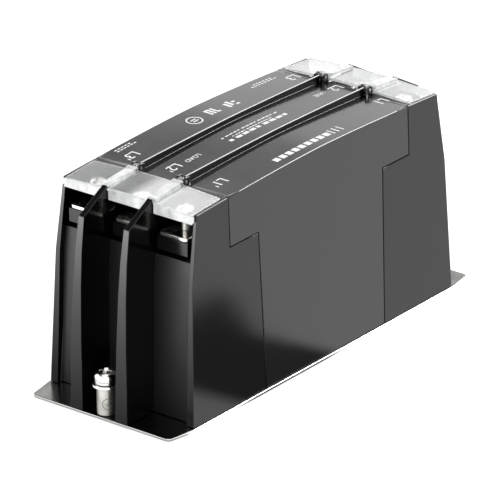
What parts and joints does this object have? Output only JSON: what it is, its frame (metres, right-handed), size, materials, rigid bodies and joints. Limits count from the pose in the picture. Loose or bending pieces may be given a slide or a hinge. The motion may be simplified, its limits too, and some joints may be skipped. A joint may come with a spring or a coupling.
{
  "type": "three-phase power line filter",
  "caption": "Enclosed power line filter on a metal base plate: screw terminals under hinged clear covers at both ends, and earth posts.",
  "frame": {"origin": "centre of the base plate's underside, on the panel it is screwed to", "axes": "+X runs from the load end to the line end, +Y runs across the three phases from the first lane to the third, +Z is away from the panel"},
  "size_m": [0.2542, 0.094, 0.1185],
  "materials": {
    "black_plastic": "satin-gloss moulded black plastic",
    "clear_plastic": "clear moulded plastic",
    "bright_steel": "bright nickel-plated steel",
    "zinc_plate": "zinc-plated sheet steel",
    "tinned_copper": "tin-plated copper",
    "cast_post": "matt nickel-plated turned brass",
    "core_case": "coated ring core",
    "copper_wire": "enamelled copper wire",
    "white_nylon": "natural moulded nylon",
    "circuit_laminate": "green solder-masked laminate",
    "capacitor_case": "yellow moulded case",
    "resistor_body": "lacquered resistor body"
  },
  "bodies": {
    "filter": {"base_plate": "zinc_plate", "bleed_resistor_1": "resistor_body", "bleed_resistor_2": "resistor_body", "bleed_resistor_3": "resistor_body", "choke_core": "core_case", "choke_mount": "white_nylon", "choke_winding_1": "copper_wire", "choke_winding_2": "copper_wire", "choke_winding_3": "copper_wire", "circuit_board": "circuit_laminate", "hood": "black_plastic", "housing_screw_1": "bright_steel", "housing_screw_2": "bright_steel", "housing_screw_3": "bright_steel", "housing_screw_4": "bright_steel", "line_bus_bar_1": "tinned_copper", "line_bus_bar_2": "tinned_copper", "line_bus_bar_3": "tinned_copper", "line_earth_post": "cast_post", "line_end_block": "black_plastic", "line_hinge_pin_1": "bright_steel", "line_hinge_pin_2": "bright_steel", "line_terminal_nut_1": "zinc_plate", "line_terminal_nut_2": "zinc_plate", "line_terminal_nut_3": "zinc_plate", "load_bus_bar_1": "tinned_copper", "load_bus_bar_2": "tinned_copper", "load_bus_bar_3": "tinned_copper", "load_earth_post": "cast_post", "load_end_block": "black_plastic", "load_hinge_pin_1": "bright_steel", "load_hinge_pin_2": "bright_steel", "load_terminal_nut_1": "zinc_plate", "load_terminal_nut_2": "zinc_plate", "load_terminal_nut_3": "zinc_plate", "x_capacitor_1": "capacitor_case", "x_capacitor_2": "capacitor_case", "x_capacitor_3": "capacitor_case", "y_capacitor": "capacitor_case"},
    "load_cover": {"load_terminal_cover": "clear_plastic"},
    "load_terminal_washer_1": {"load_terminal_washer_1": "bright_steel"},
    "load_terminal_screw_1": {"load_terminal_screw_1": "bright_steel"},
    "load_terminal_washer_2": {"load_terminal_washer_2": "bright_steel"},
    "load_terminal_screw_2": {"load_terminal_screw_2": "bright_steel"},
    "load_terminal_washer_3": {"load_terminal_washer_3": "bright_steel"},
    "load_terminal_screw_3": {"load_terminal_screw_3": "bright_steel"},
    "load_earth_washers": {"load_earth_flat_washer": "bright_steel", "load_earth_spring_washer": "bright_steel"},
    "load_earth_screw": {"load_earth_screw": "bright_steel"},
    "line_cover": {"line_terminal_cover": "clear_plastic"},
    "line_terminal_washer_1": {"line_terminal_washer_1": "bright_steel"},
    "line_terminal_screw_1": {"line_terminal_screw_1": "bright_steel"},
    "line_terminal_washer_2": {"line_terminal_washer_2": "bright_steel"},
    "line_terminal_screw_2": {"line_terminal_screw_2": "bright_steel"},
    "line_terminal_washer_3": {"line_terminal_washer_3": "bright_steel"},
    "line_terminal_screw_3": {"line_terminal_screw_3": "bright_steel"},
    "line_earth_washers": {"line_earth_flat_washer": "bright_steel", "line_earth_spring_washer": "bright_steel"},
    "line_earth_screw": {"line_earth_screw": "bright_steel"}
  },
  "joints": [
    {"name": "load_cover_hinge", "type": "hinge", "parent": "filter", "child": "load_cover", "pos_m": [-0.0756, 0, 0.1159], "axis": [0, 1, 0], "range_deg": [0, 96]},
    {"name": "load_terminal_travel_1", "type": "slide", "parent": "filter", "child": "load_terminal_washer_1", "axis": [0, 0, -1], "range_m": [0, 0.0056]},
    {"name": "load_terminal_turn_1", "type": "hinge", "parent": "load_terminal_washer_1", "child": "load_terminal_screw_1", "pos_m": [-0.0895, -0.0275, 0.1065], "axis": [0, 0, -1], "range_deg": [0, 2521]},
    {"name": "load_terminal_travel_2", "type": "slide", "parent": "filter", "child": "load_terminal_washer_2", "axis": [0, 0, -1], "range_m": [0, 0.0056]},
    {"name": "load_terminal_turn_2", "type": "hinge", "parent": "load_terminal_washer_2", "child": "load_terminal_screw_2", "pos_m": [-0.0895, 0, 0.1065], "axis": [0, 0, -1], "range_deg": [0, 2521]},
    {"name": "load_terminal_travel_3", "type": "slide", "parent": "filter", "child": "load_terminal_washer_3", "axis": [0, 0, -1], "range_m": [0, 0.0056]},
    {"name": "load_terminal_turn_3", "type": "hinge", "parent": "load_terminal_washer_3", "child": "load_terminal_screw_3", "pos_m": [-0.0895, 0.0275, 0.1065], "axis": [0, 0, -1], "range_deg": [0, 2521]},
    {"name": "load_earth_travel", "type": "slide", "parent": "filter", "child": "load_earth_washers", "axis": [0, 0, 1], "range_m": [0, 0.005]},
    {"name": "load_earth_turn", "type": "hinge", "parent": "load_earth_washers", "child": "load_earth_screw", "pos_m": [-0.1202, 0, 0.0206], "axis": [0, 0, 1], "range_deg": [0, 1801]},
    {"name": "line_cover_hinge", "type": "hinge", "parent": "filter", "child": "line_cover", "pos_m": [0.0756, 0, 0.1159], "axis": [0, -1, 0], "range_deg": [0, 96]},
    {"name": "line_terminal_travel_1", "type": "slide", "parent": "filter", "child": "line_terminal_washer_1", "axis": [0, 0, -1], "range_m": [0, 0.0056]},
    {"name": "line_terminal_turn_1", "type": "hinge", "parent": "line_terminal_washer_1", "child": "line_terminal_screw_1", "pos_m": [0.0895, -0.0275, 0.1065], "axis": [0, 0, -1], "range_deg": [0, 2521]},
    {"name": "line_terminal_travel_2", "type": "slide", "parent": "filter", "child": "line_terminal_washer_2", "axis": [0, 0, -1], "range_m": [0, 0.0056]},
    {"name": "line_terminal_turn_2", "type": "hinge", "parent": "line_terminal_washer_2", "child": "line_terminal_screw_2", "pos_m": [0.0895, 0, 0.1065], "axis": [0, 0, -1], "range_deg": [0, 2521]},
    {"name": "line_terminal_travel_3", "type": "slide", "parent": "filter", "child": "line_terminal_washer_3", "axis": [0, 0, -1], "range_m": [0, 0.0056]},
    {"name": "line_terminal_turn_3", "type": "hinge", "parent": "line_terminal_washer_3", "child": "line_terminal_screw_3", "pos_m": [0.0895, 0.0275, 0.1065], "axis": [0, 0, -1], "range_deg": [0, 2521]},
    {"name": "line_earth_travel", "type": "slide", "parent": "filter", "child": "line_earth_washers", "axis": [0, 0, 1], "range_m": [0, 0.005]},
    {"name": "line_earth_turn", "type": "hinge", "parent": "line_earth_washers", "child": "line_earth_screw", "pos_m": [0.1202, 0, 0.0206], "axis": [0, 0, 1], "range_deg": [0, 1801]}
  ],
  "couplings": [
    {"joint": "load_terminal_turn_1", "follows": "load_terminal_travel_1", "rad_per_m": 7854},
    {"joint": "load_terminal_turn_2", "follows": "load_terminal_travel_2", "rad_per_m": 7854},
    {"joint": "load_terminal_turn_3", "follows": "load_terminal_travel_3", "rad_per_m": 7854},
    {"joint": "load_earth_turn", "follows": "load_earth_travel", "rad_per_m": 6283.2},
    {"joint": "line_terminal_turn_1", "follows": "line_terminal_travel_1", "rad_per_m": 7854},
    {"joint": "line_terminal_turn_2", "follows": "line_terminal_travel_2", "rad_per_m": 7854},
    {"joint": "line_terminal_turn_3", "follows": "line_terminal_travel_3", "rad_per_m": 7854},
    {"joint": "line_earth_turn", "follows": "line_earth_travel", "rad_per_m": 6283.2}
  ]
}
